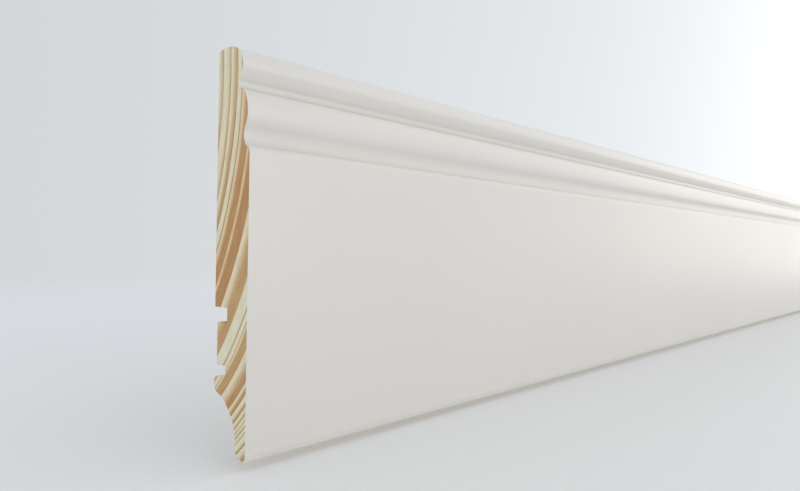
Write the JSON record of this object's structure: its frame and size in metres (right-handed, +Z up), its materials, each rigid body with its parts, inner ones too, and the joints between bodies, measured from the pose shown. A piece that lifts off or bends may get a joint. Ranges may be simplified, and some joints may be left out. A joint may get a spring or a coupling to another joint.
{
  "type": "skirting board",
  "caption": "Moulded skirting board in solid pine, painted white on face and top, with bead, ovolo and cove along its upper edge and clip grooves along its bare back",
  "frame": {"origin": "on the back of the board, at mid-length, halfway up the flat land that lies against the wall", "axes": "+X along the board, +Y into the wall, +Z up; the painted face looks towards -Y"},
  "size_m": [1, 0.018, 0.1299],
  "materials": {
    "painted_pine": "satin warm-white paint on the face and top, bare planed pine on the back, underside and sawn ends"
  },
  "bodies": {
    "root": {"skirting_board": "painted_pine"}
  },
  "joints": []
}
